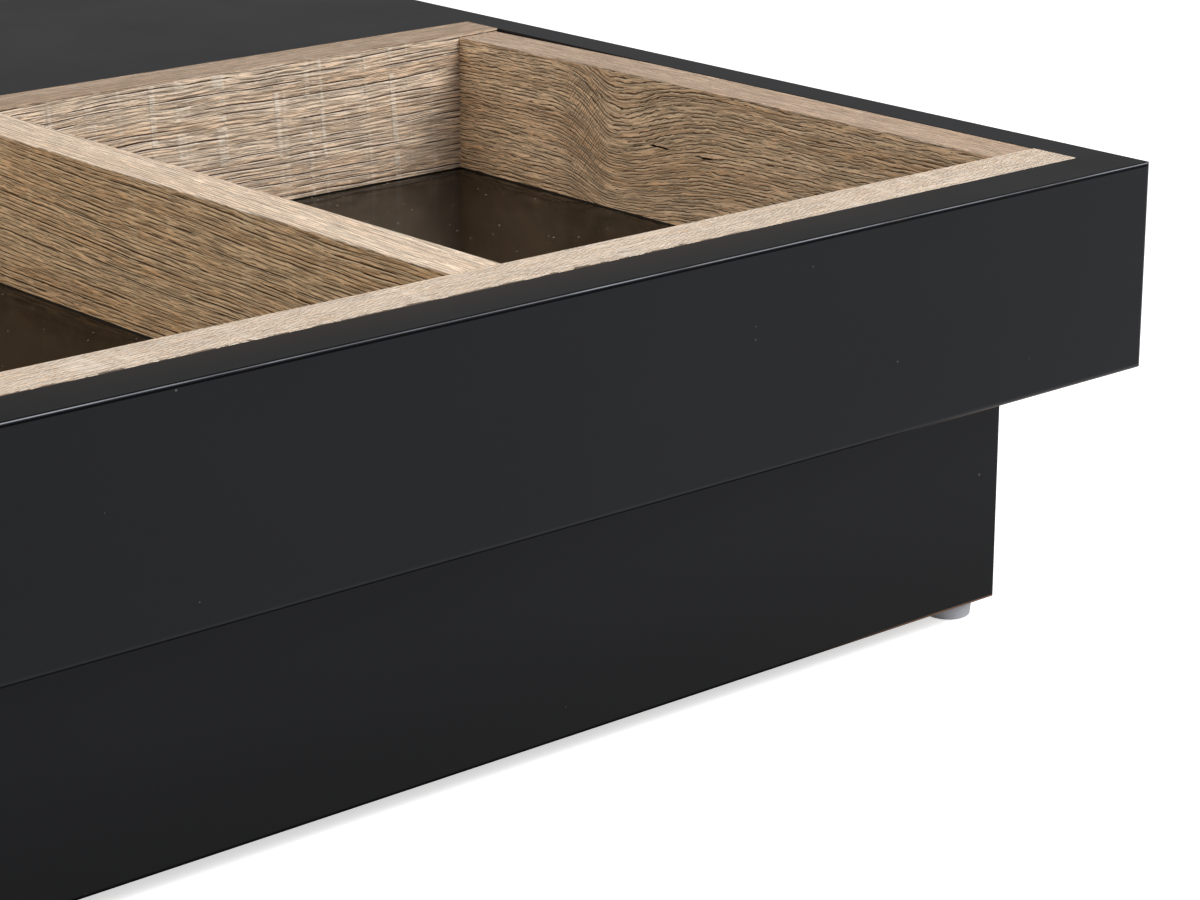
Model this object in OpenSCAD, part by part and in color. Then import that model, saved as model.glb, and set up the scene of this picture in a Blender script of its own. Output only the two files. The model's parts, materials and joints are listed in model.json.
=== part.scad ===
// Swivel coffee table: a lacquered tray box that turns on a lacquered plinth.
// Millimetres. The origin is on the floor, on the swivel axis. +Z is up,
// X runs along the short side and -Y is the end with the oak-lined compartments.

/* [Table] */
// Width of the tray box, along X
table_w = 900; // [780:10:1000]
// Length of the tray box, along Y
table_l = 1200; // [1120:10:1400]

/* [Tray box] */
// Height of the tray box
box_h = 125; // [110:1:160]
// Thickness of the two end walls
end_wall_t = 35; // [28:1:45]
// Thickness of the two side walls
side_wall_t = 26; // [22:1:36]
// Thickness of the base board inside the walls
base_t = 19; // [16:1:25]
// Radius of the outer top edges
rim_r = 1.8; // [0.5:0.1:3]
// Radius of the outer corners and bottom edges
edge_r = 4; // [2:0.5:6]

/* [Oak insert] */
// Thickness of the oak rails and of the divider
rail_t = 34; // [24:1:40]
// From the front end wall to the far side of the cross rail
tray_l = 565; // [420:5:620]
// How far the side rails sit below the rim
rail_drop = 1.2; // [0:0.1:2]
// Radius of the rails' top edges
rail_edge_r = 0.7; // [0.3:0.1:1.5]
// Thickness of the compartment floors
tray_floor_t = 12; // [8:1:16]
// Shadow gap round each compartment floor
tray_floor_gap = 1.5; // [0.5:0.1:3]

/* [Flat top] */
// Thickness of the flat half of the top
top_t = 18; // [15:1:22]
// Thickness of the ribs that carry the flat top
rib_t = 18; // [15:1:22]
// Centre distance of the two ribs
rib_pitch = 282; // [240:2:340]
// Width of the cleats under the flat top
cleat_w = 20; // [16:1:26]
// Height of the cleats under the flat top
cleat_h = 30; // [20:1:36]

/* [Plinth] */
// How far the plinth stands back under the box on every side
plinth_inset = 58; // [40:1:80]
// Height of the plinth's walls
plinth_h = 137; // [125:1:170]
// Thickness of the plinth's walls
plinth_wall_t = 18; // [16:1:22]
// Thickness of the deck that the turntable stands on
deck_t = 18; // [16:1:22]
// Side of the square corner blocks
block_w = 45; // [40:1:55]
// Height of the two rails under the deck
deck_rail_h = 60; // [50:1:75]
// Thickness of the two rails under the deck
deck_rail_t = 18; // [16:1:22]
// Centre distance of the two rails under the deck
deck_rail_pitch = 400; // [340:10:460]
// Side of the square cleats under the deck
deck_cleat_w = 20; // [16:1:24]

/* [Turntable] */
// Height of the turntable, which is the gap under the box
turn_h = 9; // [9:0.5:12]
// Diameter of the circle through the balls' centres
ball_circle_d = 240; // [220:2:260]
// Diameter of a ball
ball_d = 5; // [4.5:0.1:5.5]
// Number of balls
ball_count = 36; // [24:1:40]
// Clear width between the two races
race_gap = 2; // [1.6:0.1:2.4]
// Thickness of the ball cage
cage_t = 1.2; // [0.8:0.1:1.2]
// Width of each race's thick part
race_w = 9; // [7:0.5:10]
// Width of each race's screw flange
flange_w = 20; // [17:0.5:24]
// Thickness of each race's screw flange
flange_t = 5; // [4:0.5:6]
// Number of screws in each race
race_screws = 8; // [6:1:12]
// Diameter of the hole in the deck that a screwdriver reaches the upper race through
access_d = 22; // [16:1:24]

/* [Glides] */
// Diameter of a glide at its top
glide_d = 30; // [24:1:34]
// Height of a glide
glide_h = 11; // [8:0.5:16]
// How much a glide's diameter narrows towards the floor
glide_taper = 2; // [0:0.5:4]
// From the plinth's faces to a glide's centre
glide_inset = 20; // [18:0.5:24]

/* [Fixings] */
// Diameter of the dowels
dowel_d = 8; // [6:1:8]
// Length of the dowels
dowel_l = 30; // [25:1:35]
// How deep a dowel sits in a wall
dowel_seat = 12; // [8:0.5:13]
// Length of the screws that hold the oak rails and the ribs
rail_screw_l = 50; // [40:1:60]
// How far the corner blocks' screws reach into the plinth's walls
block_screw_bite = 10; // [8:0.5:12]
// Length of the screws in the deck
deck_screw_l = 30; // [26:1:32]
// Length of the screws in the turntable
race_screw_l = 16; // [12:1:18]
// Length of the nails in the glides
nail_l = 26; // [20:1:28]

/* [Hidden] */
$fn = 64;

LACQUER = [0.17, 0.17, 0.175];
BOARD = [0.24, 0.22, 0.20];
OAK = [0.80, 0.71, 0.60];
FLOOR = [0.19, 0.15, 0.11];
TIMBER = [0.78, 0.66, 0.48];
ALUMINIUM = [0.72, 0.73, 0.75];
STEEL = [0.62, 0.63, 0.66];
NYLON = [0.86, 0.85, 0.80];
GLIDE = [0.63, 0.65, 0.66];

// Overrun of a cut past the face that it starts from
cut = 1;
// Play round a dowel, a screw or a nail in its hole
fix_play = 0.05;
// Play between a ball and its race, and a ball and its cage
ball_play = 0.08;
// How far a screw head sits below its surface
head_sink = 0.3;
// Radius of the rounded edge at the foot of a glide
glide_edge_r = 1.5;
// Chamfer at the ends of a dowel
dowel_chamfer = 1;
// Gap between two pieces of timber that meet end to side
board_gap = 0.3;
// Chamfer on the turned edges of the races
race_chamfer = 0.4;
// Running clearance between a race and the board that it turns under or over
race_clear = 0.8;
// Running clearance above and below the cage
cage_clear = 0.9;
// Depth of a nail in its glide
nail_in_glide = 6;

// A screw is [shank diameter, head diameter, length]
rail_screw = [4.5, 9, rail_screw_l];
block_screw = [4.5, 9, block_w + block_screw_bite];
deck_screw = [3.5, 7, deck_screw_l];
race_screw = [3.5, 7, race_screw_l];
nail_d = 2.5;
// Cross recess of a screw head, in head diameters
cross_length = 0.55;
cross_width = 0.12;
cross_depth = 0.25;

// From the ends of a board to its outermost fixings
end_rail_margin = 44;
side_rail_margin = 58;
rib_margin = 90;
side_dowel_margin = 65;
deck_rail_margin = 74;
// Heights of the fixings in the corners, above the lower edge of their wall
box_dowel_z = [34, 95];
plinth_dowel_z = [25, 112];
end_block_screw_z = [32, 84];
side_block_screw_z = [46, 98];
// Heights of the dowels in the deck rails, below the deck
deck_rail_dowel_z = [18, 42];
// How far the deck's screws stand from the middle of a corner block
deck_screw_offset = 8;

// Levels
deck_top = glide_h + plinth_h;
box_z = deck_top + turn_h;
base_top = box_z + base_t;
rim_z = box_z + box_h;
ball_z = deck_top + turn_h / 2;

// Plan sizes
in_w = table_w - 2 * side_wall_t;
in_l = table_l - 2 * end_wall_t;
front_y = -in_l / 2;
cross_y = front_y + tray_l;
back_y = in_l / 2;
side_rail_l = tray_l - 2 * rail_t;
side_rail_y = front_y + tray_l / 2;
tray_w = (in_w - 3 * rail_t) / 2;
tray_x = (tray_w + rail_t) / 2;
rail_h = rim_z - base_top;
flat_l = back_y - cross_y;
flat_y = (cross_y + back_y) / 2;
plinth_w = table_w - 2 * plinth_inset;
plinth_l = table_l - 2 * plinth_inset;
plinth_in_w = plinth_w - 2 * plinth_wall_t;
plinth_in_l = plinth_l - 2 * plinth_wall_t;
block_x = (plinth_in_w - block_w) / 2;
block_y = (plinth_in_l - block_w) / 2;
deck_z = deck_top - deck_t;
glide_x = plinth_w / 2 - glide_inset;
glide_y = plinth_l / 2 - glide_inset;

// Turntable radii
ball_r = ball_circle_d / 2;
race_in_r = ball_r - race_gap / 2;
race_out_r = ball_r + race_gap / 2;
upper_screw_r = race_in_r - race_w - flange_w / 2;
lower_screw_r = race_out_r + race_w + flange_w / 2;

function spread(count, span) = [for (i = [0 : count - 1]) -span / 2 + span * i / (count - 1)];
function ring(count, r, turn = 0) =
    [for (i = [0 : count - 1]) [r * cos(turn + 360 * i / count), r * sin(turn + 360 * i / count)]];
function between(v) = [for (i = [0 : len(v) - 2]) (v[i] + v[i + 1]) / 2];
function level(points, z) = [for (p = points) [p[0], p[1], z]];

CORNERS = [[-1, -1], [1, -1], [1, 1], [-1, 1]];

// Where the fixings stand
end_rail_x = spread(4, in_w - 2 * end_rail_margin);
side_rail_screw_y = [for (y = spread(3, side_rail_l - 2 * side_rail_margin)) side_rail_y + y];
rib_screw_y = [for (y = spread(3, flat_l - 2 * rib_margin)) flat_y + y];
rib_x = spread(2, rib_pitch);
// The dowels of the base board stand between the screws, clear of them
end_dowel_x = between(end_rail_x);
side_dowel_y = concat(between(side_rail_screw_y),
    [for (y = spread(3, flat_l - 2 * side_dowel_margin)) flat_y + y]);
base_screw_at = level(concat(
    [for (x = end_rail_x) [x, front_y + rail_t / 2]],
    [for (x = end_rail_x) [x, cross_y - rail_t / 2]],
    [for (x = [-1, 0, 1] * (in_w - rail_t) / 2, y = side_rail_screw_y) [x, y]],
    [for (x = rib_x, y = rib_screw_y) [x, y]]
), box_z + head_sink);
deck_screw_at = level(concat(
    [for (c = CORNERS) [c[0] * (block_x - deck_screw_offset), c[1] * (block_y - deck_screw_offset)]],
    [for (x = spread(4, plinth_in_w - 2 * deck_rail_margin), y = spread(2, deck_rail_pitch)) [x, y]]
), deck_top - head_sink);
lower_race_screw_at = level(ring(race_screws, lower_screw_r, 180 / race_screws),
    deck_top + flange_t - head_sink);
upper_race_screw_at = level(ring(race_screws, upper_screw_r, 180 / race_screws),
    box_z - flange_t + head_sink);

// Basic forms

module box(size, at) {
    translate([at[0] - size[0] / 2, at[1] - size[1] / 2, at[2]]) cube(size);
}

// One quarter round to be taken off a corner of an outline, at its tip
module outline_corner(tip, dx, dy, r) {
    translate(tip) difference() {
        translate([dx > 0 ? -cut : -r, dy > 0 ? -cut : -r]) square(r + cut);
        translate([dx * r, dy * r]) circle(r);
    }
}

// Rectangle standing on the X axis with rounded lower and upper corners
module edge_outline(w, h, r_low, r_high) {
    difference() {
        translate([-w / 2, 0]) square([w, h]);
        for (side = [-1, 1]) {
            if (r_low > 0) outline_corner([side * w / 2, 0], -side, 1, r_low);
            if (r_high > 0) outline_corner([side * w / 2, h], -side, -1, r_high);
        }
    }
}

// Block with rounded vertical, lower and upper edges, standing at height z
module lacquered_block(w, l, h, z, r, r_high) {
    translate([0, 0, z]) intersection() {
        linear_extrude(h) translate([0, -l / 2]) edge_outline(w, l, r, r);
        rotate([90, 0, 0]) linear_extrude(l + 2 * cut, center = true) edge_outline(w, h, r, r_high);
        rotate([90, 0, 90]) linear_extrude(w + 2 * cut, center = true) edge_outline(l, h, r, r_high);
    }
}

// Countersunk screw that points down from the middle of its head
module screw_body(screw, play) {
    shank_r = screw[0] / 2 + play;
    head_r = screw[1] / 2 + play;
    cone_h = head_r - shank_r;
    tip_h = screw[0];
    rotate_extrude() polygon([
        [0, 0], [head_r, 0], [shank_r, -cone_h],
        [shank_r, -screw[2] + tip_h - play], [0, -screw[2] - play],
    ]);
}

// Screw with its cross recess, which is measured in head diameters
module screw(screw) {
    slot_l = cross_length * screw[1];
    slot_w = cross_width * screw[1];
    slot_h = cross_depth * screw[1];
    difference() {
        screw_body(screw, 0);
        for (turn = [0, 90])
            rotate([0, 0, turn]) box([slot_l, slot_w, slot_h + cut], [0, 0, -slot_h]);
    }
}

// Hole for a screw, open above its head
module screw_hole(screw) {
    screw_body(screw, fix_play);
    cylinder(r = screw[1] / 2 + fix_play, h = head_sink + cut);
}

// Dowel along Z from -seat to length - seat
module dowel(play = 0) {
    r = dowel_d / 2 + play;
    low = -dowel_seat - play;
    high = dowel_l - dowel_seat + play;
    rotate_extrude() polygon([
        [0, low], [r - dowel_chamfer, low], [r, low + dowel_chamfer],
        [r, high - dowel_chamfer], [r - dowel_chamfer, high], [0, high],
    ]);
}

// Turns +Z towards the inside of the table from a wall on the given side
module from_end(side) { rotate([side * 90, 0, 0]) children(); }
module from_side(side) { rotate([0, -side * 90, 0]) children(); }

// Fixings of the tray box

module box_dowel_set(play = 0) {
    for (end = [-1, 1]) {
        for (x = [-1, 1] * (table_w - side_wall_t) / 2, z = box_dowel_z)
            translate([x, end * in_l / 2, box_z + z]) from_end(end) dowel(play);
        for (x = end_dowel_x)
            translate([x, end * in_l / 2, box_z + base_t / 2]) from_end(end) dowel(play);
    }
    for (side = [-1, 1], y = side_dowel_y)
        translate([side * in_w / 2, y, box_z + base_t / 2]) from_side(side) dowel(play);
}

module base_screw_holes() {
    for (p = base_screw_at) translate(p) rotate([180, 0, 0]) screw_hole(rail_screw);
}

module upper_race_screw_holes() {
    for (p = upper_race_screw_at) translate(p) rotate([180, 0, 0]) screw_hole(race_screw);
}

// Tray box

module tray_block() {
    lacquered_block(table_w, table_l, box_h, box_z, edge_r, rim_r);
}

module end_wall(side) {
    color(LACQUER) difference() {
        intersection() {
            tray_block();
            box([table_w + 2 * cut, end_wall_t + cut, box_h + 2 * cut],
                [0, side * (in_l + end_wall_t + cut) / 2, box_z - cut]);
        }
        box_dowel_set(fix_play);
    }
}

module side_wall(side) {
    color(LACQUER) difference() {
        intersection() {
            tray_block();
            box([side_wall_t + cut, in_l, box_h + 2 * cut],
                [side * (in_w + side_wall_t + cut) / 2, 0, box_z - cut]);
        }
        box_dowel_set(fix_play);
    }
}

module front_wall() { end_wall(-1); }
module back_wall() { end_wall(1); }
module left_wall() { side_wall(-1); }
module right_wall() { side_wall(1); }

module base_board() {
    color(BOARD) difference() {
        box([in_w, in_l, base_t], [0, 0, box_z]);
        box_dowel_set(fix_play);
        base_screw_holes();
        upper_race_screw_holes();
    }
}

module flat_top() {
    color(LACQUER) box([in_w, flat_l, top_t], [0, flat_y, rim_z - top_t]);
}

module top_ribs() {
    color(BOARD) difference() {
        for (x = rib_x)
            box([rib_t, flat_l - 2 * (cleat_w + board_gap), rail_h - top_t],
                [x, flat_y, base_top]);
        base_screw_holes();
    }
}

module top_cleats() {
    low = rim_z - top_t - cleat_h;
    color(TIMBER) {
        for (y = [cross_y + cleat_w / 2, back_y - cleat_w / 2])
            box([in_w, cleat_w, cleat_h], [0, y, low]);
        for (side = [-1, 1])
            box([cleat_w, flat_l - 2 * (cleat_w + board_gap), cleat_h],
                [side * (in_w - cleat_w) / 2, flat_y, low]);
    }
}

// Oak insert

module rail_bar(length, height) {
    rotate([90, 0, 90]) linear_extrude(length, center = true)
        edge_outline(rail_t, height, 0, rail_edge_r);
}

module end_rail(y) {
    color(OAK) difference() {
        translate([0, y, base_top]) rail_bar(in_w, rail_h);
        base_screw_holes();
    }
}

module long_rail(x, drop) {
    color(OAK) difference() {
        translate([x, side_rail_y, base_top]) rotate([0, 0, 90]) rail_bar(side_rail_l, rail_h - drop);
        base_screw_holes();
    }
}

module front_rail() { end_rail(front_y + rail_t / 2); }
module cross_rail() { end_rail(cross_y - rail_t / 2); }
module left_rail() { long_rail(-(in_w - rail_t) / 2, rail_drop); }
module right_rail() { long_rail((in_w - rail_t) / 2, rail_drop); }
module divider() { long_rail(0, 0); }

module tray_floor(side) {
    color(FLOOR) box(
        [tray_w - 2 * tray_floor_gap, side_rail_l - 2 * tray_floor_gap, tray_floor_t],
        [side * tray_x, side_rail_y, base_top]);
}

module left_tray_floor() { tray_floor(-1); }
module right_tray_floor() { tray_floor(1); }

module box_dowels() { color(TIMBER) box_dowel_set(); }

module base_screws() {
    color(STEEL) for (p = base_screw_at) translate(p) rotate([180, 0, 0]) screw(rail_screw);
}

// Turntable: two turned races with one row of caged balls between them

// Outline of the lower race to the right of the axis, standing on z = 0
module race_outline() {
    thick_h = turn_h - race_clear;
    far_r = race_out_r + race_w + flange_w;
    c = race_chamfer;
    difference() {
        polygon([
            [race_out_r, c], [race_out_r + c, 0], [far_r - c, 0], [far_r, c],
            [far_r, flange_t - c], [far_r - c, flange_t],
            [race_out_r + race_w, flange_t], [race_out_r + race_w, thick_h - c],
            [race_out_r + race_w - c, thick_h], [race_out_r + c, thick_h],
            [race_out_r, thick_h - c],
        ]);
        translate([ball_r, turn_h / 2]) circle(ball_d / 2 + ball_play);
    }
}

module lower_race() {
    color(ALUMINIUM) difference() {
        translate([0, 0, deck_top]) rotate_extrude($fn = 180) race_outline();
        for (p = lower_race_screw_at) translate(p) screw_hole(race_screw);
    }
}

// The upper race is the lower one's outline turned half round in its section
module upper_race() {
    color(ALUMINIUM) difference() {
        translate([0, 0, box_z]) rotate_extrude($fn = 180)
            translate([2 * ball_r, 0]) rotate(180) race_outline();
        upper_race_screw_holes();
    }
}

module lower_race_screws() {
    color(STEEL) for (p = lower_race_screw_at) translate(p) screw(race_screw);
}

module upper_race_screws() {
    color(STEEL) for (p = upper_race_screw_at) translate(p) rotate([180, 0, 0]) screw(race_screw);
}

module turntable_balls() {
    color(STEEL) for (p = level(ring(ball_count, ball_r), ball_z))
        translate(p) sphere(d = ball_d, $fn = 32);
}

module ball_cage() {
    color(NYLON) difference() {
        rotate_extrude($fn = 180) translate([ball_r - cage_t / 2, deck_top + cage_clear])
            square([cage_t, turn_h - 2 * cage_clear]);
        for (i = [0 : ball_count - 1])
            rotate([0, 0, 360 * i / ball_count]) translate([ball_r, 0, ball_z]) rotate([0, 90, 0])
                cylinder(d = ball_d + 2 * ball_play, h = 2 * race_gap, center = true);
    }
}

// Plinth

module plinth_block() {
    lacquered_block(plinth_w, plinth_l, plinth_h, glide_h, edge_r / 2, rim_r);
}

module plinth_dowel_set(play = 0) {
    for (end = [-1, 1], x = [-1, 1] * (plinth_w - plinth_wall_t) / 2, z = plinth_dowel_z)
        translate([x, end * plinth_in_l / 2, glide_h + z]) from_end(end) dowel(play);
    for (side = [-1, 1], y = spread(2, deck_rail_pitch), z = deck_rail_dowel_z)
        translate([side * plinth_in_w / 2, y, deck_z - z]) from_side(side) dowel(play);
}

// Places its child at each screw of the corner blocks, pointing out into the wall
module at_block_screws() {
    for (c = CORNERS) {
        for (z = end_block_screw_z)
            translate([c[0] * block_x, c[1] * (block_y - block_w / 2 + head_sink), glide_h + z])
                rotate([c[1] * 90, 0, 0]) children();
        for (z = side_block_screw_z)
            translate([c[0] * (block_x - block_w / 2 + head_sink), c[1] * block_y, glide_h + z])
                rotate([0, -c[0] * 90, 0]) children();
    }
}

module plinth_end(side) {
    color(LACQUER) difference() {
        intersection() {
            plinth_block();
            box([plinth_w + 2 * cut, plinth_wall_t + cut, plinth_h + 2 * cut],
                [0, side * (plinth_in_l + plinth_wall_t + cut) / 2, glide_h - cut]);
        }
        plinth_dowel_set(fix_play);
        at_block_screws() screw_hole(block_screw);
        glide_nail_set(fix_play);
    }
}

module plinth_side(side) {
    color(LACQUER) difference() {
        intersection() {
            plinth_block();
            box([plinth_wall_t + cut, plinth_in_l, plinth_h + 2 * cut],
                [side * (plinth_in_w + plinth_wall_t + cut) / 2, 0, glide_h - cut]);
        }
        plinth_dowel_set(fix_play);
        at_block_screws() screw_hole(block_screw);
        glide_nail_set(fix_play);
    }
}

module plinth_front() { plinth_end(-1); }
module plinth_back() { plinth_end(1); }
module plinth_left() { plinth_side(-1); }
module plinth_right() { plinth_side(1); }

module deck_board() {
    color(BOARD) difference() {
        box([plinth_in_w, plinth_in_l, deck_t], [0, 0, deck_z]);
        for (p = deck_screw_at) translate(p) screw_hole(deck_screw);
        for (p = lower_race_screw_at) translate(p) screw_hole(race_screw);
        rotate([0, 0, 180 / race_screws]) translate([upper_screw_r, 0, deck_z - cut])
            cylinder(d = access_d, h = deck_t + 2 * cut);
    }
}

module deck_rails() {
    color(TIMBER) difference() {
        for (y = spread(2, deck_rail_pitch))
            box([plinth_in_w, deck_rail_t, deck_rail_h], [0, y, deck_z - deck_rail_h]);
        plinth_dowel_set(fix_play);
        for (p = deck_screw_at) translate(p) screw_hole(deck_screw);
    }
}

module deck_cleats() {
    low = deck_z - deck_cleat_w;
    corner_y = plinth_in_l / 2 - block_w;
    rail_near = (deck_rail_pitch - deck_rail_t) / 2;
    rail_far = (deck_rail_pitch + deck_rail_t) / 2;
    color(TIMBER) {
        for (end = [-1, 1])
            box([plinth_in_w - 2 * block_w, deck_cleat_w, deck_cleat_w],
                [0, end * (plinth_in_l - deck_cleat_w) / 2, low]);
        for (side = [-1, 1]) {
            x = side * (plinth_in_w - deck_cleat_w) / 2;
            box([deck_cleat_w, 2 * rail_near, deck_cleat_w], [x, 0, low]);
            for (end = [-1, 1])
                box([deck_cleat_w, corner_y - rail_far, deck_cleat_w],
                    [x, end * (corner_y + rail_far) / 2, low]);
        }
    }
}

module corner_blocks() {
    color(TIMBER) difference() {
        for (c = CORNERS)
            box([block_w, block_w, deck_z - glide_h], [c[0] * block_x, c[1] * block_y, glide_h]);
        at_block_screws() screw_hole(block_screw);
        for (p = deck_screw_at) translate(p) screw_hole(deck_screw);
        glide_nail_set(fix_play);
    }
}

module plinth_dowels() { color(TIMBER) plinth_dowel_set(); }

module block_screws() { color(STEEL) at_block_screws() screw(block_screw); }

module deck_screws() {
    color(STEEL) for (p = deck_screw_at) translate(p) screw(deck_screw);
}

// Glides

module glide_nail_set(play = 0) {
    for (c = CORNERS)
        translate([c[0] * glide_x, c[1] * glide_y, glide_h - nail_in_glide - play])
            cylinder(d = nail_d + 2 * play, h = nail_l + 2 * play);
}

module glides() {
    foot_r = (glide_d - glide_taper) / 2;
    color(GLIDE) difference() {
        for (c = CORNERS) translate([c[0] * glide_x, c[1] * glide_y, 0]) rotate_extrude() union() {
            polygon([[0, 0], [foot_r - glide_edge_r, 0], [foot_r, glide_edge_r],
                [glide_d / 2, glide_h], [0, glide_h]]);
            translate([foot_r - glide_edge_r, glide_edge_r]) circle(glide_edge_r);
        }
        glide_nail_set(fix_play);
    }
}

module glide_nails() { color(STEEL) glide_nail_set(); }

front_wall();
back_wall();
left_wall();
right_wall();
base_board();
flat_top();
top_ribs();
top_cleats();
front_rail();
cross_rail();
left_rail();
right_rail();
divider();
left_tray_floor();
right_tray_floor();
box_dowels();
base_screws();
upper_race();
upper_race_screws();
lower_race();
lower_race_screws();
turntable_balls();
ball_cage();
plinth_front();
plinth_back();
plinth_left();
plinth_right();
deck_board();
deck_rails();
deck_cleats();
corner_blocks();
plinth_dowels();
block_screws();
deck_screws();
glides();
glide_nails();
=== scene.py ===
"""Looks of the swivel coffee table: finishes, oak boards, fixings, and the studio round it."""

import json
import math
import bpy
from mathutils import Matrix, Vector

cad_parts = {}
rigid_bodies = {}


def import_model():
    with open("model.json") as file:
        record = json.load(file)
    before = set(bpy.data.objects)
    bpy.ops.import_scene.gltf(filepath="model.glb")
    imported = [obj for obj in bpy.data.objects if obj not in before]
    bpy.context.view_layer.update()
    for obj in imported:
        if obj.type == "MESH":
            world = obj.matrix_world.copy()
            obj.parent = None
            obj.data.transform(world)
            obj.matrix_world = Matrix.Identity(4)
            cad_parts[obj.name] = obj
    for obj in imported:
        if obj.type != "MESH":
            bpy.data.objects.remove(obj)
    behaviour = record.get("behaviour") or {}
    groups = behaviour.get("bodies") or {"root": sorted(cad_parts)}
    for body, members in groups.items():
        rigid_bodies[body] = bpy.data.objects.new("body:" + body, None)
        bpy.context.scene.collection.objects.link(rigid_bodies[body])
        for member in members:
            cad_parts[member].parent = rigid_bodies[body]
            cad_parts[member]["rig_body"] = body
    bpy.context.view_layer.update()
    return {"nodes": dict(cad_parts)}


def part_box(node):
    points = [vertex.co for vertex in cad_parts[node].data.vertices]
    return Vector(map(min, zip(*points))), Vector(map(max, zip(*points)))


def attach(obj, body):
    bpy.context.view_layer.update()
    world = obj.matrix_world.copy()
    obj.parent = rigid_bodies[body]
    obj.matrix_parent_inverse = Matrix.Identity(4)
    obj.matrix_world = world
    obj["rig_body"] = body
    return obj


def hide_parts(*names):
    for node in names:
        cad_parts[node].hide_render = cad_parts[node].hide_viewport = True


bl_info = {
    "name": "Swivel coffee table",
    "version": (1, 0, 0),
    "blender": (4, 5, 0),
    "location": "View3D > Sidebar > Table",
    "description": "Dresses the packed coffee table with its lacquer, oak, fixings and studio",
    "category": "Object",
}

import bmesh
import bpy
from mathutils import Vector, noise

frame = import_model()

MM = 0.001
GRAIN_MAP = "grain"
# The grain map gives each long face of a board its own strip, this far apart
FACE_STEP = 0.4
# A board is built in rings this far apart, has this rounding and this shadow rebate at its foot
RING_STEP = 3 * MM
EDGE_RADIUS = 0.7 * MM
ROUND_STEPS = 4
REBATE_DEPTH = 2 * MM
REBATE_HEIGHT = 0.9 * MM
# How far the pores' pale lips lie beside them, partly limed and partly a painted highlight of
# the pores' relief, and how far each row of strokes is moved along
LIP_OFFSET = 0.7 * MM
ROW_SHIFT = 7.31
# Depths of bumps: satin and moulded surfaces, and raw wood
FINE_RELIEF = 0.02 * MM
ROUGH_RELIEF = 0.12 * MM
# Edges sharper than this stay sharp on round pieces
SMOOTH_ANGLE = math.radians(40)
# The floor, and the distances between which it fades into the room
FLOOR_RADIUS = 30.0
FADE_START, FADE_END = 3.5, 12.0
# Tints of the boards' faces; the warm ones on the sides of the rails and the divider are partly
# the boards' own tone and partly painted warm bounce light
EVEN = (1.0, 1.0, 1.0)
WARM = (1.0, 0.865, 0.69)
DEEP = (0.66, 0.595, 0.55)
SHADY = (0.94, 0.79, 0.58)
MILD = (1.0, 0.96, 0.915)
FAIR = (0.885, 0.855, 0.83)
DUSKY = (0.60, 0.54, 0.495)

LACQUERED_BOX = ("front_wall", "back_wall", "left_wall", "right_wall", "flat_top")
LACQUERED_PLINTH = ("plinth_front", "plinth_back", "plinth_left", "plinth_right")
SCREWS = ("base_screws", "block_screws", "deck_screws", "upper_race_screws", "lower_race_screws")


# Sizes and colours that a user would change


class TableLacquer(bpy.types.PropertyGroup):
    """Finish of the tray box and of the plinth"""

    colour: bpy.props.FloatVectorProperty(
        name="Lacquer", description="Colour of the lacquer", subtype="COLOR", size=4,
        min=0, max=1, default=(0.0088, 0.0092, 0.0110, 1),
    )
    raw: bpy.props.FloatVectorProperty(
        name="Raw edge", description="Colour of the board where the lacquer is thin or missing",
        subtype="COLOR", size=4, min=0, max=1, default=(0.20, 0.105, 0.055, 1),
    )
    gloss: bpy.props.FloatProperty(
        name="Roughness", description="Roughness of the satin lacquer", subtype="FACTOR",
        min=0, max=1, default=0.30,
    )
    specks: bpy.props.FloatProperty(
        name="Dust", description="How many specks of dust lie in the lacquer", subtype="FACTOR",
        min=0, max=1, default=0.04,
    )


class TableOak(bpy.types.PropertyGroup):
    """Finish of the oak rails and the divider"""

    pale: bpy.props.FloatVectorProperty(
        name="Pale wood", description="Colour of the pale bands", subtype="COLOR", size=4,
        min=0, max=1, default=(0.81, 0.655, 0.51, 1),
    )
    tan: bpy.props.FloatVectorProperty(
        name="Tan wood", description="Colour of the warm bands", subtype="COLOR", size=4,
        min=0, max=1, default=(0.70, 0.515, 0.365, 1),
    )
    pore: bpy.props.FloatVectorProperty(
        name="Pores", description="Colour of the open pores", subtype="COLOR", size=4,
        min=0, max=1, default=(0.085, 0.036, 0.010, 1),
    )
    # Also the colour of the pores' pale lips, which are partly a painted highlight
    lime: bpy.props.FloatVectorProperty(
        name="Limed streaks", description="Colour of the pale streaks and saw marks",
        subtype="COLOR", size=4, min=0, max=1, default=(0.97, 0.90, 0.80, 1),
    )
    relief: bpy.props.FloatProperty(
        name="Relief", description="Depth of the pores", subtype="DISTANCE", unit="LENGTH",
        min=0, max=0.003, default=0.0015,
    )


class TableFixings(bpy.types.PropertyGroup):
    """Threads of the screws"""

    pitch: bpy.props.FloatProperty(
        name="Pitch", description="Rise of the thread in each turn, in shank diameters",
        subtype="FACTOR", min=0.3, max=0.8, default=0.48,
    )
    core: bpy.props.FloatProperty(
        name="Core", description="Radius of the core inside the thread, as a share of the shank's",
        subtype="FACTOR", min=0.5, max=0.9, default=0.7,
    )


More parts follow.
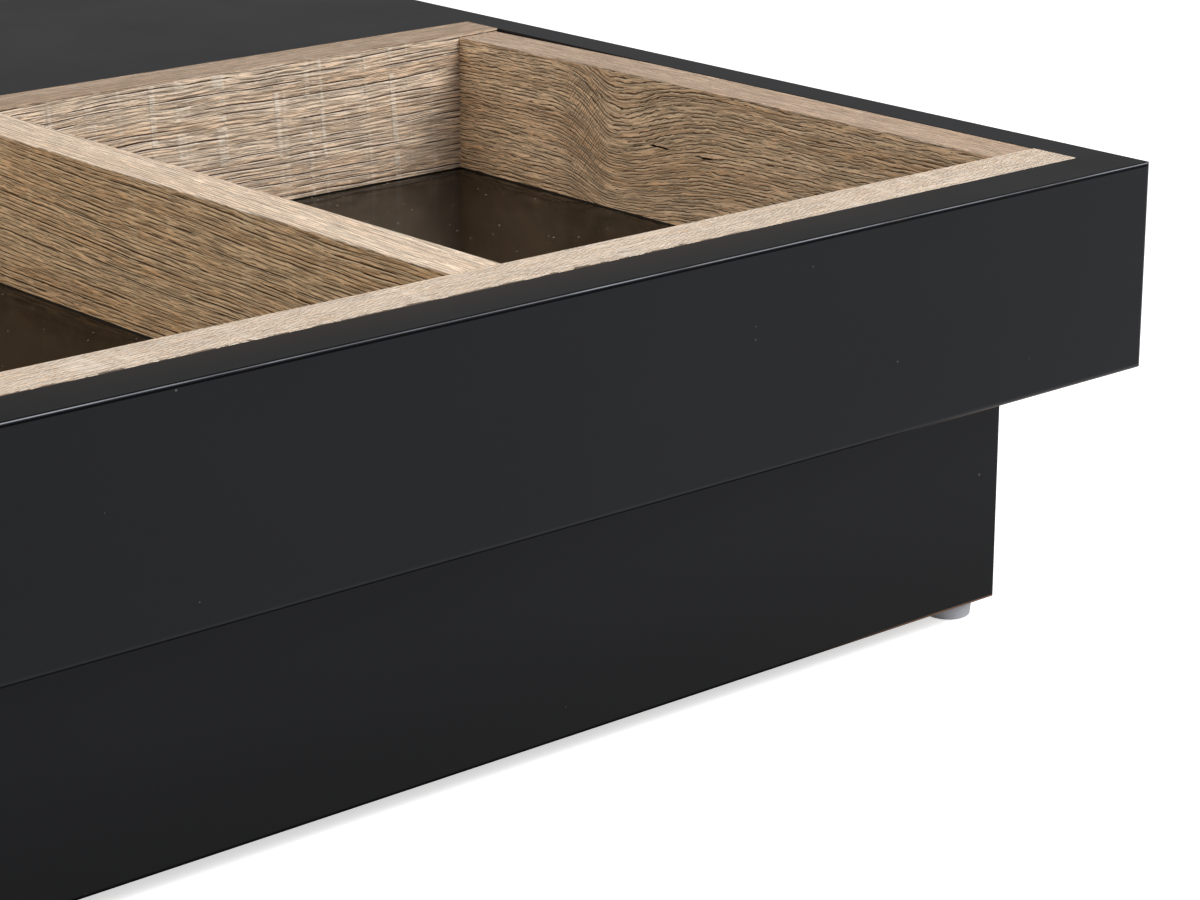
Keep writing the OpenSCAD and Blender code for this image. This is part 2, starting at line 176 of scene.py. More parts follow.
class TableStudio(bpy.types.PropertyGroup):
    """Camera, lamps and floor"""

    lens: bpy.props.FloatProperty(
        name="Lens", description="Focal length of the camera", subtype="DISTANCE_CAMERA",
        min=20, max=300, default=103.81,
    )
    stand: bpy.props.FloatVectorProperty(
        name="Camera", description="Where the camera stands", subtype="TRANSLATION",
        unit="LENGTH", size=3, default=(-1.0845, -1.8695, 0.7358),
    )
    pitch: bpy.props.FloatProperty(
        name="Pitch", description="How far the camera looks down", subtype="ANGLE",
        default=math.radians(17.767),
    )
    yaw: bpy.props.FloatProperty(
        name="Yaw", description="How far the camera is turned from +Y towards +X",
        subtype="ANGLE", default=math.radians(41.133),
    )
    key_power: bpy.props.FloatProperty(
        name="Key lamp", description="Power of the softbox in front", subtype="POWER",
        unit="POWER", min=0, max=500, default=222,
    )
    fill_power: bpy.props.FloatProperty(
        name="Fill lamp", description="Power of the softbox at the left", subtype="POWER",
        unit="POWER", min=0, max=500, default=53,
    )
    ambient: bpy.props.FloatProperty(
        name="Ambient", description="Brightness of the room round the table", min=0, max=1,
        default=0.22,
    )


# Node building


class Value:
    """An output of a node, with which further nodes calculate."""

    def __init__(self, socket):
        self.socket = socket

    def __add__(self, other):
        return calc("ADD", self, other)

    def __sub__(self, other):
        return calc("SUBTRACT", self, other)

    def __rsub__(self, other):
        return calc("SUBTRACT", other, self)

    def __mul__(self, other):
        return calc("MULTIPLY", self, other)

    def __truediv__(self, other):
        return calc("DIVIDE", self, other)

    def __abs__(self):
        return calc("ABSOLUTE", self)

    def __lt__(self, other):
        return calc("LESS_THAN", self, other)

    def __gt__(self, other):
        return calc("GREATER_THAN", self, other)


class Outputs:
    """The outputs of a node, by name or number."""

    def __init__(self, node):
        self.node = node

    def __getitem__(self, key):
        return Value(self.node.outputs[key])


def feed(socket, value):
    """Links value to socket, or sets it where it is a plain value."""
    if isinstance(value, Value):
        socket.id_data.links.new(value.socket, socket)
    else:
        socket.default_value = value


def tree_of(*values):
    """The node tree that the first output among these values stands in."""
    return next(value.socket.id_data for value in values if isinstance(value, Value))


def add_node(tree, kind, settings=None, *values, **inputs):
    """Adds a node with these settings. values feed its first inputs, and inputs those they name.

    In the name of an input _ stands for a space.
    """
    made = tree.nodes.new(kind)
    for key, value in (settings or {}).items():
        setattr(made, key, value)
    for socket, value in zip(made.inputs, values):
        feed(socket, value)
    for key, value in inputs.items():
        feed(made.inputs[key.replace("_", " ")], value)
    return Outputs(made)


def calc(operation, *values, clamp=False):
    """One arithmetic step."""
    return add_node(tree_of(*values), "ShaderNodeMath",
                    {"operation": operation, "use_clamp": clamp}, *values)[0]


def least(first, second):
    """The lower of two values."""
    return calc("MINIMUM", first, second)


def most(first, second):
    """The higher of two values."""
    return calc("MAXIMUM", first, second)


def square(value):
    """The value times itself."""
    return value * value


def rise(value, start, end, low=0.0, high=1.0):
    """Goes smoothly from low to high while value goes from start to end."""
    return add_node(tree_of(value), "ShaderNodeMapRange", {"interpolation_type": "SMOOTHSTEP"},
                    Value=value, From_Min=start, From_Max=end, To_Min=low, To_Max=high)[0]


def fall(value, start, end, high=1.0):
    """Goes smoothly from high to 0 while value goes from start to end."""
    return rise(value, start, end, high, 0.0)


def split(vector):
    """The three parts of a vector."""
    parts = add_node(tree_of(vector), "ShaderNodeSeparateXYZ", Vector=vector)
    return [parts[i] for i in range(3)]


def join(x, y, z):
    """A vector of three parts."""
    return add_node(tree_of(x, y, z), "ShaderNodeCombineXYZ", X=x, Y=y, Z=z)[0]


def cloud(vector, stretch, detail=2.0, rough=0.5):
    """Noise with this many periods a metre, along each axis or along all of them."""
    if not isinstance(stretch, tuple):
        stretch = (stretch, stretch, stretch)
    tree = tree_of(vector)
    scaled = add_node(tree, "ShaderNodeVectorMath", {"operation": "MULTIPLY"}, vector, stretch)
    return add_node(tree, "ShaderNodeTexNoise", Vector=scaled[0], Scale=1.0, Detail=detail,
                    Roughness=rough)["Fac"]


def mix_colour(factor, first, second, mode="MIX"):
    """The first colour, with as much of the second as factor says."""
    made = tree_of(factor, first, second).nodes.new("ShaderNodeMix")
    made.data_type = "RGBA"
    made.blend_type = mode
    for number, value in ((0, factor), (6, first), (7, second)):
        feed(made.inputs[number], value)
    return Value(made.outputs[2])


def shaded(colour, shade):
    """The colour, made darker or lighter by a value."""
    return mix_colour(1.0, colour, join(shade, shade, shade), "MULTIPLY")


def new_group(name, **inputs):
    """A shader node group, with its inputs and a function that gives it its outputs.

    An input whose value is None is a vector, and an output named Colour is a colour.
    """
    tree = bpy.data.node_groups.new(name, "ShaderNodeTree")

    def add_socket(key, side, kind):
        return tree.interface.new_socket(key.replace("_", " "), in_out=side,
                                         socket_type="NodeSocket" + kind)

    def close(**outputs):
        for key in outputs:
            add_socket(key, "OUTPUT", "Color" if key == "Colour" else "Float")
        add_node(tree, "NodeGroupOutput", **outputs)
        return tree

    for key, value in inputs.items():
        if value is None:
            add_socket(key, "INPUT", "Vector")
        else:
            add_socket(key, "INPUT", "Float").default_value = value

    return tree, add_node(tree, "NodeGroupInput"), close


def use_group(tree, group, **inputs):
    """Places a node group in a tree and feeds its inputs."""
    return add_node(tree, "ShaderNodeGroup", {"node_tree": group}, **inputs)


def bare_material(name):
    """A material without nodes, and its tree."""
    material = bpy.data.materials.new(name)
    material.use_nodes = True
    material.node_tree.nodes.clear()
    return material, material.node_tree


def new_material(name, **shader):
    """A material with one Principled shader, the shader's inputs and the object coordinates."""
    material, tree = bare_material(name)
    surface = add_node(tree, "ShaderNodeBsdfPrincipled", **shader)
    add_node(tree, "ShaderNodeOutputMaterial", Surface=surface[0])
    return material, surface.node.inputs, add_node(tree, "ShaderNodeTexCoord")["Object"]


def dress(surface, colour, roughness, height=None, depth=0.0, strength=1.0):
    """Gives a shader its colour and roughness, and a bump of this depth where there is a height."""
    feed(surface["Base Color"], colour)
    feed(surface["Roughness"], roughness)
    if height:
        bump = add_node(tree_of(height), "ShaderNodeBump", Height=height, Distance=depth,
                        Strength=strength)
        feed(surface["Normal"], bump[0])


# Effects that several materials share


def dust_group():
    """Specks of dust and lint: a mask that is 1 on a speck."""
    tree, enter, close = new_group("dust", Vector=None, Amount=0.1, Spacing=120.0, Size=0.05)
    cells = add_node(tree, "ShaderNodeTexVoronoi", Vector=enter["Vector"], Scale=enter["Spacing"])
    chance, spread, _ = split(cells["Color"])
    size = spread * enter["Size"] + enter["Size"]
    return close(Speck=(chance < enter["Amount"]) * (cells["Distance"] < size))


def arris_group():
    """How near a point of a closed box lies to one of its edges: 1 on the edge, 0 inside."""
    _, enter, close = new_group("arris", Vector=None, Half_width=0.45, Half_length=0.6, Low=0.0,
                                High=0.1, Reach=0.003)
    x, y, z = split(enter["Vector"])
    from_side = enter["Half width"] - abs(x)
    from_end = enter["Half length"] - abs(y)
    foot = z - enter["Low"]
    below_top = enter["High"] - z
    inward = least(from_side, from_end)
    middle = most(inward, least(most(from_side, from_end), least(foot, below_top)))
    return close(Edge=fall(middle, 0.0, enter["Reach"]), Foot=foot, Below_top=below_top,
                 Inward=inward)


def turned_group():
    """Concentric tool marks of a part turned on a lathe about the Z axis."""
    tree, enter, close = new_group("turned", Vector=None, Marks=1800.0)
    x, y, z = split(enter["Vector"])
    across = calc("SQRT", square(x) + square(y)) + z
    marks = add_node(tree, "ShaderNodeTexNoise", {"noise_dimensions": "1D"},
                     W=across * enter["Marks"], Scale=1.0, Detail=3.0)
    return close(Height=marks["Fac"])


def strokes(at, rows, runs, cover, width, jitter):
    """Tapered strokes along x.

    rows and runs count them in a metre; cover and width are shares of a run and of a row.
    """
    x, y, z = split(at)
    uneven = cloud(at, (runs * 0.45, rows * 0.2, 1.0), 3.0, 0.55)
    place = uneven * jitter + y * rows
    row = calc("FLOOR", place)
    off = abs(place - row - 0.5)
    body = cloud(join(x * runs, row * ROW_SHIFT, z), 1.0, 3.0, 0.6)
    body = rise(body, 0.62 - 0.3 * cover, 0.76 - 0.3 * cover)
    return calc("MULTIPLY", body * width - off, 4.0 / width, clamp=True)


def knot_group():
    """Figure beside a knot: a dip of the grain, steep on its far side, with scales across it."""
    _, enter, close = new_group("knot", Map=None, Along=9.0, Across=0.0)
    u, v, seed = split(enter["Map"])
    from_u = u - enter["Along"]
    from_v = v - enter["Across"]
    width = rise(from_u, -10 * MM, 10 * MM, 60 * MM, 30 * MM)
    far = square(from_u / width) + square(from_v / (55 * MM))
    crossing = strokes(join(u, u * 1.3 + v, seed), 330.0, 200.0, 0.85, 0.20, 3.0)
    flank = rise(from_u, 2 * MM, 14 * MM) * fall(from_u, 40 * MM, 60 * MM)

    # Two short open cracks before the dip, each an uneven slit
    uneven = (cloud(enter["Map"], (260.0, 900.0, 1.0), 1.0) - 0.5) * (2 * MM)
    cracks = 0.0
    for middle in (-45 * MM, -87.5 * MM):
        reach = square((from_u - middle) / (10.5 * MM)) + square((from_v + uneven) / (0.7 * MM))
        cracks = most(fall(reach, 0.5, 1.0), cracks)
    return close(Dip=calc("EXPONENT", far * -1.0),
                 Scales=crossing * flank * fall(abs(from_v), 25 * MM, 50 * MM), Cracks=cracks)


def oak_group(oak, knot_figure):
    """Rough-sawn oak decor in a grain map: x runs along the grain, y across it, in metres."""
    tree, enter, close = new_group(
        "oak decor", Map=None, Seed=0.0, Knot_along=9.0, Knot_across=0.0, Slope=0.0,
        Long_pores=1.0, Saw_marks=1.0, Flecks=0.0, Contrast=1.0, Waves=0.5, Fine_pores=0.7)
    u, v, _ = split(enter["Map"])
    seed, waves = enter["Seed"], enter["Waves"]
    plain = join(u, v, seed)

    # The grain drifts, ripples and shivers about its slope, and dips at the knot
    knot = use_group(tree, knot_figure, Map=plain, Along=enter["Knot along"],
                     Across=enter["Knot across"])
    drift = cloud(plain, (2.6, 10.0, 1.0), 1.0) - 0.5
    ripple = cloud(plain, (22.0, 70.0, 1.0), 1.0) - 0.5
    shiver = cloud(plain, (95.0, 260.0, 1.0)) - 0.5
    wander = ripple * (2.4 * MM) + drift * (17 * MM) + shiver * (waves * (2.2 * MM))
    flow_v = v + (wander + u * enter["Slope"]) + knot["Dip"] * (22 * MM)
    flow = join(u, flow_v, seed)

    # Saw marks stand across the grain, and break off here and there
    saw_place = join(v * 0.06 + u, v, seed)
    broad = rise(cloud(saw_place, (88.0, 1.5, 3.0), 1.0), 0.59, 0.67)
    fine = rise(cloud(saw_place, (140.0, 3.0, 5.0), 1.0), 0.58, 0.70)
    broken = rise(cloud(plain, (30.0, 90.0, 7.0), 3.0, 0.65), 0.40, 0.56)
    saw = calc("MULTIPLY", fine * 0.45 + broad, broken, clamp=True) * enter["Saw marks"]

    # Pores are more ragged where the grain waves: long lines, finer ones and short ones
    wobble = waves * 1.5 + 0.7
    short_wobble = waves * 2.2 + 0.8

    def all_pores(at):
        bold = strokes(at, 215.0, 15.0, 0.62, 0.09, 0.9) * enter["Long pores"]
        medium = strokes(at, 400.0, 70.0, 0.76, 0.155, wobble) * enter["Fine pores"]
        short = strokes(at, 1100.0, 60.0, 0.60, 0.20, short_wobble) * 0.45
        return most(short, most(medium, bold))

    pores = most(all_pores(flow), knot["Scales"] * 0.6) * (saw * -0.35 + 1.0)
    pores = most(pores, knot["Cracks"])
    limed_and_lit_lips = all_pores(join(u, flow_v + LIP_OFFSET, seed))

    # Colour: bands, fibres, pale lips (partly limed, partly a painted highlight of the pores'
    # relief), saw marks and flecks, pores and cracks over each other
    bands = rise(cloud(flow, (2.6, 75.0, 4.0), 3.0, 0.6), 0.38, 0.62)
    fibres = cloud(flow, (45.0, 700.0, 1.0), 4.0, 0.62)
    colour = mix_colour(bands, tuple(oak.tan), tuple(oak.pale))
    colour = shaded(colour, rise(fibres, 0.33, 0.67, 0.52, 1.50))
    slant = join(v * 0.45 + u, u * -0.45 + v, seed)
    flecks = strokes(slant, 360.0, 170.0, 0.8, 0.34, 2.0) * enter["Flecks"]
    rungs = saw * rise(fibres, 0.36, 0.56)
    for pale_mark in (limed_and_lit_lips, rungs * 0.75, flecks * 0.7):
        colour = mix_colour(pale_mark, colour, tuple(oak.lime))
    dark = calc("MULTIPLY", pores, enter["Contrast"], clamp=True)
    colour = mix_colour(dark, colour, tuple(oak.pore))
    colour = mix_colour(knot["Cracks"], colour, (0.006, 0.004, 0.003, 1))
    height = most(saw, flecks) * 0.35 + (fibres * 0.5 - pores)
    return close(Colour=colour, Height=height, Roughness=pores * 0.3 + 0.52)


# Materials


def lacquer_material(name, lacquer, nodes, groups, raw_foot, wear, foot_shade, rim_reflects_oak=False):
    """Satin lacquer on a closed box.

    raw_foot is the height up to which the board shows, wear how much it shows along the edges,
    foot_shade how bright the colour is at the foot, where it is painted darker as shade, and
    rim_reflects_oak says that the rim gets a painted warm reflection of the oak beside it and
    painted shade towards the arris.
    """
    low, high = joint_box(nodes)
    material, surface, place = new_material(name, Specular_IOR_Level=0.16)
    tree = material.node_tree
    x = split(place)[0]
    arris = use_group(tree, groups["arris"], Vector=place, Half_width=high.x, Half_length=high.y,
                      Low=low.z, High=high.z, Reach=2.2 * MM)
    edge, foot, below_top, inward = (arris[i] for i in range(4))
    speck = use_group(tree, groups["dust"], Vector=place, Amount=lacquer.specks)["Speck"]
    tone = cloud(place, (5.0, 5.0, 7.0)) * 0.36 + 0.82
    # Painted shade: the colour grows darker towards the foot
    tone = tone * rise(foot, 0.0, high.z - low.z, foot_shade, 1.0)
    colour = shaded(tuple(lacquer.colour), tone)

    # Bare board shows in spots near the edges and as a hairline on them; the band at the foot on
    # the right is partly bare board and partly a painted highlight along the seam
    thin = rise(cloud(place, 60.0, 3.0), 0.52, 0.70)
    wear_and_seam_highlight = most(edge * thin * wear, (edge > 0.93) * (wear * 0.8))
    aside = rise(x, 0.20, 0.36)
    raw = calc("COMPARE", foot, raw_foot / 2, raw_foot * 0.46)
    wear_and_seam_highlight = most(wear_and_seam_highlight, raw * aside * 0.7)
    colour = mix_colour(wear_and_seam_highlight, colour, tuple(lacquer.raw))

    # Painted shade: a black metal without a gleam stands for the shaded rounding at the foot,
    # fading out towards the right end
    under = fall(foot, 1 * MM, 3 * MM) * (1.0 - aside)
    painted_shade = under * (foot > 0.03 * MM) * (1.0 - wear_and_seam_highlight)

    # A painted highlight runs along the outer top arris, broken in patches, over a thin painted
    # dark line just below it
    painted_arris_highlight = fall(most(below_top, inward), 0.3 * MM, 0.95 * MM) * rise(x, -0.05, 0.42, 1.0, 0.8)
    highlight_breaks = rise(cloud(place, 9.0, 4.0), 0.36, 0.58, 0.35, 1.0)
    colour = mix_colour(painted_arris_highlight * highlight_breaks, colour, (0.48, 0.50, 0.55, 1))
    painted_shade = most(painted_shade, calc("COMPARE", below_top, 1.9 * MM, 0.5 * MM) * 0.8)
    if rim_reflects_oak:
        # Painted shade on the rim, deeper towards the arris
        rim = below_top < 0.4 * MM
        near_arris = rise(inward, 6 * MM, 34 * MM, 0.90, 0.60) * (inward > 1 * MM)
        painted_shade = most(painted_shade, near_arris * rim)
    # The painted shade turns the colour nearly black and takes the gleam off the lacquer there
    colour = mix_colour(painted_shade * 0.9, colour, (0.001, 0.001, 0.0012, 1))
    feed(surface["Metallic"], painted_shade)
    if rim_reflects_oak:
        # A painted warm reflection of the oak on the rim, strongest beside the oak and in the
        # middle
        painted_oak_reflection = rise(inward, 3 * MM, 30 * MM) * rim * fall(abs(x), 0.10, 0.44)
        colour = mix_colour(painted_oak_reflection * (inward < 36 * MM), colour, (0.021, 0.0125, 0.0078, 1))
    colour = mix_colour(speck * 0.16, colour, (0.5, 0.5, 0.5, 1))
    rough = cloud(place, 9.0, 4.0, 0.6) * 0.12 + (lacquer.gloss - 0.06)
    rough = rough + wear_and_seam_highlight * 0.35 + under * 0.7
    dress(surface, colour, rough, speck + cloud(place, 420.0), FINE_RELIEF, 0.6)
    return material


def oak_material(name, oak, groups, seed, sides, top, top_pores, top_flecks, look, chipped=None):
    """Oak decor for one board. sides and top are the tints of its faces, look is its grain.

    chipped is half the board's width, where its left top edge has dark chips.
    """
    material, surface, _ = new_material(name, Specular_IOR_Level=0.15)
    tree = material.node_tree
    grain = add_node(tree, "ShaderNodeUVMap", {"uv_map": GRAIN_MAP})[0]
    on_top = calc("COMPARE", split(grain)[1], FACE_STEP, FACE_STEP / 2)
    decor = use_group(tree, groups["oak decor"], Map=grain, Seed=seed,
                      Contrast=on_top * (top_pores - 1.0) + 1.0, Flecks=on_top * top_flecks, **look)
    colour = mix_colour(on_top * 0.33, decor["Colour"], (0.88, 0.73, 0.58, 1))
    # Side tints: partly each board's own tone, partly painted warm bounce light on shaded faces
    tint = mix_colour(on_top, (*sides, 1), (*top, 1))
    colour = mix_colour(1.0, colour, tint, "MULTIPLY")
    if chipped:
        colour = chipped_edge(colour, grain, chipped)
    dress(surface, colour, decor["Roughness"], decor["Height"], oak.relief, 0.9)
    return material


def chipped_edge(colour, grain, half):
    """The colour, with dark ragged chips on the left top edge of a board of this half width."""
    u, v, _ = split(grain)
    inside = v - (FACE_STEP - half)
    fray = cloud(grain, (55.0, 130.0, 1.0), 3.0, 0.65)
    chips = (inside < rise(fray, 0.42, 0.70, 0.3 * MM, 3.4 * MM)) * (inside > -FACE_STEP / 4)
    return mix_colour(chips * fall(u, 0.10, 0.20, 0.8), colour, (0.085, 0.052, 0.032, 1))


def tray_floor_material(groups):
    """Dark brown satin board with a little dust."""
    material, surface, place = new_material("tray_floor", Specular_IOR_Level=0.08)
    mottle = cloud(place, (60.0, 14.0, 60.0), 3.0)
    colour = mix_colour(mottle, (0.0022, 0.0015, 0.001, 1), (0.006, 0.0042, 0.0028, 1))
    speck = use_group(material.node_tree, groups["dust"], Vector=place, Amount=0.22,
                      Spacing=170.0, Size=0.055)["Speck"]
    colour = mix_colour(speck * 0.7, colour, (0.75, 0.73, 0.70, 1))
    dress(surface, colour, cloud(place, 14.0, 3.0) * 0.12 + 0.10,
          cloud(place, (900.0, 300.0, 900.0)), FINE_RELIEF, 0.5)
    return material


def board_material():
    """Particle board under a dark sealing coat."""
    material, surface, place = new_material("backing_board", Specular_IOR_Level=0.3)
    chips = add_node(material.node_tree, "ShaderNodeTexVoronoi", Vector=place, Scale=420.0)
    chip = split(chips["Color"])[0]
    colour = mix_colour(chip, (0.040, 0.034, 0.028, 1), (0.072, 0.060, 0.048, 1))
    colour = mix_colour(cloud(place, 7.0, 3.0), colour, (0.050, 0.043, 0.036, 1))
    dress(surface, colour, chip * 0.2 + 0.55, chip, ROUGH_RELIEF, 0.5)
    return material


def pine_material(name, along_y_beyond=None, upright=False):
    """Planed pine. Beyond |x| = along_y_beyond its grain runs along Y, and elsewhere along X."""
    material, surface, grain = new_material(name, Specular_IOR_Level=0.35)
    x, y, z = split(grain)
    if upright:
        grain = join(z, x, y)
    elif along_y_beyond:
        aside = abs(x) > along_y_beyond
        straight = 1.0 - aside
        grain = join(x * straight + y * aside, y * straight + x * aside, z)
    rings = rise(cloud(grain, (1.6, 150.0, 150.0), 1.5), 0.40, 0.62)
    fibres = cloud(grain, (30.0, 1300.0, 1300.0))
    colour = mix_colour(rings, (0.62, 0.45, 0.26, 1), (0.43, 0.25, 0.11, 1))
    dress(surface, shaded(colour, fibres * 0.3 + 0.85), rings * -0.12 + 0.62, fibres,
          ROUGH_RELIEF, 0.6)
    return material


def beech_material():
    """Turned beech with its short ray flecks."""
    material, surface, place = new_material("beech", Specular_IOR_Level=0.35)
    flecks = rise(cloud(place, 900.0, 1.0), 0.56, 0.66)
    dress(surface, mix_colour(flecks, (0.60, 0.41, 0.26, 1), (0.42, 0.25, 0.14, 1)),
          flecks * 0.1 + 0.5)
    return material


def metal_material(name, light, dark, roughness, spread, groups=None):
    """Bare or plated metal; with groups, a part turned about the Z axis."""
    material, surface, place = new_material(name, Metallic=1.0)
    film = rise(cloud(place, 160.0, 3.0), 0.35, 0.7)
    marks = None
    if groups:
        marks = use_group(material.node_tree, groups["turned"], Vector=place)["Height"]
    dress(surface, mix_colour(film, light, dark), film * spread + roughness, marks,
          2 * FINE_RELIEF, 0.7)
    return material


def plastic_material(name, light, dark, roughness, scuff):
    """Moulded plastic with a fine spark-eroded texture and faint scuffs."""
    material, surface, place = new_material(
        name, Specular_IOR_Level=0.45, Subsurface_Weight=0.12, Subsurface_Scale=2 * MM)
    colour = mix_colour(cloud(place, (140.0, 140.0, 420.0), 3.0), light, dark)
    scratch = rise(cloud(place, (1800.0, 160.0, 900.0)), 0.60, 0.72)
    colour = mix_colour(scratch * scuff, colour, dark)
    dress(surface, colour, scratch * 0.2 + roughness, cloud(place, 2600.0, 1.0), FINE_RELIEF, 0.5)
    return material


# Shapes


def box_round(points):
    """The low and the high corner of the box round these points."""
    return (Vector([min(p[i] for p in points) for i in range(3)]),
            Vector([max(p[i] for p in points) for i in range(3)]))


def joint_box(nodes):
    """The box round several nodes."""
    return box_round([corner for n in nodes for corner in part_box(n)])


def coat(nodes, material):
    """Gives CAD nodes a material."""
    for n in nodes:
        mesh = frame["nodes"][n].data
        mesh.materials.clear()
        mesh.materials.append(material)


def place_piece(name, mesh, node):
    """Makes a piece that stands for a node and rides on its body, and hides the node."""
    piece = bpy.data.objects.new(name, mesh)
    bpy.context.scene.collection.objects.link(piece)
    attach(piece, frame["nodes"][node]["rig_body"])
    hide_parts(node)


def solids_of(node):
    """The corners of each separate solid of a node, as lists of vectors."""
    mesh = bmesh.new()
    mesh.from_mesh(frame["nodes"][node].data)
    bmesh.ops.remove_doubles(mesh, verts=mesh.verts, dist=1e-6)
    found, seen = [], set()
    for start in mesh.verts:
        if start in seen:
            continue
        part, stack = [], [start]
        seen.add(start)
        while stack:
            vert = stack.pop()
            part.append(vert.co.copy())
            for edge in vert.link_edges:
                other = edge.other_vert(vert)
                if other not in seen:
                    seen.add(other)
                    stack.append(other)
        found.append(part)
    mesh.free()
    return found


def board_outline(half, height, radii, rebate):
    """Section of a board: (across, up) points from its lower left, with rounded top edges.

    rebate is the height of the shadow rebate at its foot.
    """
    left, right = radii
    turns = [math.pi / 2 * i / ROUND_STEPS for i in range(ROUND_STEPS + 1)]
    foot = half - REBATE_DEPTH
    points = [(-foot, 0.0), (-foot, rebate), (-half, rebate)]
    points += [(-half + left - left * math.cos(turn), height - left + left * math.sin(turn))
               for turn in turns]
    points += [(half - right + right * math.sin(turn), height - right + right * math.cos(turn))
               for turn in turns]
    return points + [(half, rebate), (foot, rebate), (foot, 0.0)]


def frayed_radius(run, side, seed, reach):
    """Radius of a board's top edge at a place along it. reach is how far its chips go in."""
    fray = noise.noise(Vector((run * 260, seed + 40 * side, 0.5)))
    chip = noise.noise(Vector((run * 70, seed + 90 * side, 3.5)))
    return EDGE_RADIUS + 0.25 * MM * max(0.0, fray) + reach * max(0.0, chip - 0.30)


def oak_board(node, along, ragged, drop_at, seed):
    """A board of oak decor in a node's box, with ragged top edges and its own grain map.

    along is 0 or 1 for X or Y, ragged is how far chips reach into the left and right top edge,
    and drop_at gives how far the top lies below the flat top, at a place along the board.
    """
    low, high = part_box(node)
    across = 1 - along
    half = (high[across] - low[across]) / 2
    middle = (high[across] + low[across]) / 2
    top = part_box("flat_top")[1].z
    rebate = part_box("left_tray_floor")[1].z - low.z + REBATE_HEIGHT
    length = high[along] - low[along]
    rings = int(length / RING_STEP) + 1
    mesh = bmesh.new()
    grain = mesh.loops.layers.uv.new(GRAIN_MAP)
    rows = []
    for i in range(rings + 1):
        run = low[along] + length * i / rings
        radii = [frayed_radius(run, side, seed, ragged[side]) for side in (0, 1)]
        height = top - drop_at(run) - low.z
        rows.append([])
        for s, t in board_outline(half, height, radii, rebate):
            place = [0.0, 0.0, low.z + t]
            place[along] = run
            place[across] = middle + s
            rows[-1].append((mesh.verts.new(place), run, s, t))
    last = len(rows[0]) - 1

    def add_face(corners, face, material=0):
        if along == 1:
            corners = corners[::-1]
        made = mesh.faces.new([c[0] for c in corners])
        made.material_index = material
        for loop, (_, run, s, t) in zip(made.loops, corners):
            loop[grain].uv = run, face * FACE_STEP + (s if face == 1 else t)

    # Faces 0 and 2 are the board's sides and face 1 its top; the rebate has the second material,
    # the dark board, which paints the shadow line at the foot darker as painted shade
    for row, following in zip(rows, rows[1:]):
        for j in range(last):
            face = 0 if j < 3 else 2 if j > last - 4 else 1
            in_rebate = j < 2 or j > last - 3
            add_face([row[j], row[j + 1], following[j + 1], following[j]], face, int(in_rebate))
        add_face([row[-1], row[0], following[0], following[-1]], 0)
    add_face(rows[0][::-1], 0)
    add_face(rows[-1], 0)
    bmesh.ops.recalc_face_normals(mesh, faces=mesh.faces)
    data = bpy.data.meshes.new(node + "_board")
    mesh.to_mesh(data)
    mesh.free()
    return data


# Geometry nodes for what repeats


def new_geometry_tree(name, inputs):
    """A geometry node tree, with its inputs, their identifiers and a function that closes it."""
    tree = bpy.data.node_groups.new(name, "GeometryNodeTree")
    tree.is_modifier = True
    identifiers = {}
    for key, kind in {"Geometry": "Geometry", **inputs}.items():
        socket = tree.interface.new_socket(key, in_out="INPUT", socket_type="NodeSocket" + kind)
        identifiers[key] = socket.identifier
    tree.interface.new_socket("Geometry", in_out="OUTPUT", socket_type="NodeSocketGeometry")
    enter = add_node(tree, "NodeGroupInput")

    def close(instances):
        real = add_node(tree, "GeometryNodeRealizeInstances", Geometry=instances)[0]
        painted = add_node(tree, "GeometryNodeSetMaterial", Geometry=real,
                           Material=enter["Material"])[0]
        add_node(tree, "NodeGroupOutput", Geometry=painted)

    return tree, enter, identifiers, close


def raised(tree, part, height):
    """A part of a geometry, moved up by height."""
    shift = add_node(tree, "ShaderNodeCombineXYZ", Z=height)[0]
    return add_node(tree, "GeometryNodeTransform", Geometry=part, Translation=shift)[0]


def cone_part(tree, start, end, start_radius, end_radius):
    """A round solid along Z from start to end, with these radii at its ends."""
    cone = add_node(tree, "GeometryNodeMeshCone", Vertices=28, Radius_Bottom=start_radius,
                    Radius_Top=end_radius, Depth=end - start)[0]
    return raised(tree, cone, start)


